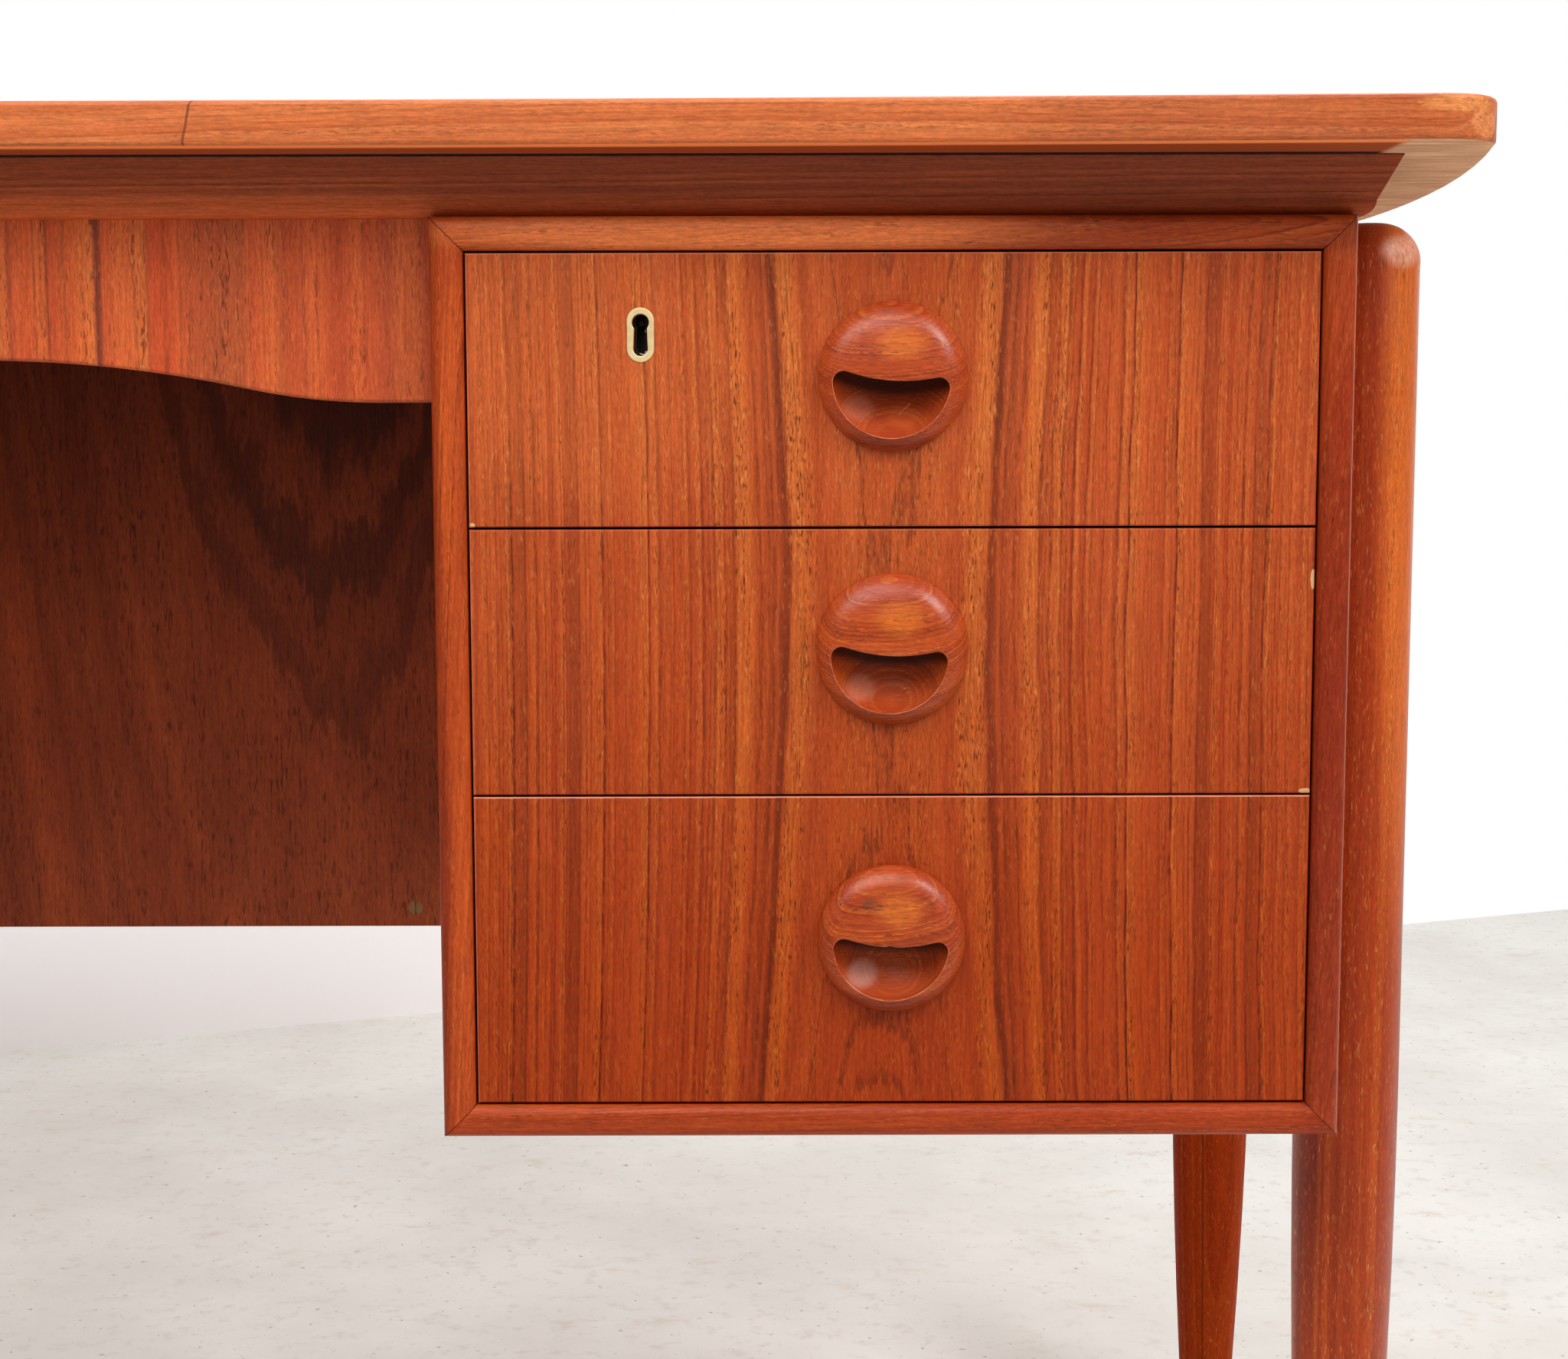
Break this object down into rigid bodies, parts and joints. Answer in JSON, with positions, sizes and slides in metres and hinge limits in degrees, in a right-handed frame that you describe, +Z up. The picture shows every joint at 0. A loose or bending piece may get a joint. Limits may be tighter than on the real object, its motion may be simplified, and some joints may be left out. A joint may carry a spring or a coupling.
{
  "type": "writing desk",
  "caption": "Teak pedestal writing desk with a floating top, round turned legs, scooped round pulls, side-hung drawers and a lockable drawer.",
  "frame": {"origin": "on the floor, at the bottom centre of the whole desk", "axes": "+X along the desk to the right as seen from the chair, +Y to the back, +Z up"},
  "size_m": [1.4, 0.5584, 0.73],
  "materials": {
    "brass": "brushed",
    "case_veneer": "satin",
    "dark_teak": "satin",
    "drawer_bottom_ply": "matte",
    "drawer_box_wood": "matte",
    "drawer_front_veneer": "satin",
    "leg_teak": "satin",
    "lipping_teak": "satin",
    "lock_steel": "brushed",
    "runner_wood": "matte",
    "screw_steel": "plain",
    "top_veneer": "satin",
    "turned_teak": "satin"
  },
  "bodies": {
    "case": {"back_left_leg": "leg_teak", "back_right_leg": "leg_teak", "front_left_leg": "leg_teak", "front_right_leg": "leg_teak", "kneehole_apron": "case_veneer", "kneehole_back_panel": "case_veneer", "kneehole_batten": "runner_wood", "kneehole_panel_screws": "brass", "left_pedestal_back_board": "case_veneer", "left_pedestal_cross_boards": "case_veneer", "left_pedestal_front_frame": "lipping_teak", "left_pedestal_inner_side": "case_veneer", "left_pedestal_outer_side": "case_veneer", "left_pedestal_runners": "runner_wood", "leg_screws": "screw_steel", "right_pedestal_back_board": "case_veneer", "right_pedestal_cross_boards": "case_veneer", "right_pedestal_front_frame": "lipping_teak", "right_pedestal_inner_side": "case_veneer", "right_pedestal_outer_side": "case_veneer", "right_pedestal_runners": "runner_wood", "spacer_end_rails": "dark_teak", "spacer_long_rails": "dark_teak", "spacer_screws": "screw_steel", "tabletop_core": "top_veneer", "tabletop_lipping": "lipping_teak"},
    "right_top_drawer": {"keyhole_escutcheon": "brass", "lock_case": "lock_steel", "right_top_drawer_back": "drawer_box_wood", "right_top_drawer_bottom": "drawer_bottom_ply", "right_top_drawer_front": "drawer_front_veneer", "right_top_drawer_pull": "turned_teak", "right_top_drawer_sides": "drawer_box_wood"},
    "right_middle_drawer": {"right_middle_drawer_back": "drawer_box_wood", "right_middle_drawer_bottom": "drawer_bottom_ply", "right_middle_drawer_front": "drawer_front_veneer", "right_middle_drawer_pull": "turned_teak", "right_middle_drawer_sides": "drawer_box_wood"},
    "right_bottom_drawer": {"right_bottom_drawer_back": "drawer_box_wood", "right_bottom_drawer_bottom": "drawer_bottom_ply", "right_bottom_drawer_front": "drawer_front_veneer", "right_bottom_drawer_pull": "turned_teak", "right_bottom_drawer_sides": "drawer_box_wood"},
    "left_top_drawer": {"left_top_drawer_back": "drawer_box_wood", "left_top_drawer_bottom": "drawer_bottom_ply", "left_top_drawer_front": "drawer_front_veneer", "left_top_drawer_pull": "turned_teak", "left_top_drawer_sides": "drawer_box_wood"},
    "left_middle_drawer": {"left_middle_drawer_back": "drawer_box_wood", "left_middle_drawer_bottom": "drawer_bottom_ply", "left_middle_drawer_front": "drawer_front_veneer", "left_middle_drawer_pull": "turned_teak", "left_middle_drawer_sides": "drawer_box_wood"},
    "left_bottom_drawer": {"left_bottom_drawer_back": "drawer_box_wood", "left_bottom_drawer_bottom": "drawer_bottom_ply", "left_bottom_drawer_front": "drawer_front_veneer", "left_bottom_drawer_pull": "turned_teak", "left_bottom_drawer_sides": "drawer_box_wood"},
    "lock_bolt": {"lock_bolt": "lock_steel"}
  },
  "joints": [
    {"name": "right_top_drawer_slide", "type": "slide", "parent": "case", "child": "right_top_drawer", "axis": [0, -1, 0], "range_m": [0, 0.34]},
    {"name": "right_middle_drawer_slide", "type": "slide", "parent": "case", "child": "right_middle_drawer", "axis": [0, -1, 0], "range_m": [0, 0.34]},
    {"name": "right_bottom_drawer_slide", "type": "slide", "parent": "case", "child": "right_bottom_drawer", "axis": [0, -1, 0], "range_m": [0, 0.34]},
    {"name": "left_top_drawer_slide", "type": "slide", "parent": "case", "child": "left_top_drawer", "axis": [0, -1, 0], "range_m": [0, 0.34]},
    {"name": "left_middle_drawer_slide", "type": "slide", "parent": "case", "child": "left_middle_drawer", "axis": [0, -1, 0], "range_m": [0, 0.34]},
    {"name": "left_bottom_drawer_slide", "type": "slide", "parent": "case", "child": "left_bottom_drawer", "axis": [0, -1, 0], "range_m": [0, 0.34]},
    {"name": "lock_bolt_slide", "type": "slide", "parent": "right_top_drawer", "child": "lock_bolt", "axis": [0, 0, 1], "range_m": [0, 0.007]}
  ]
}
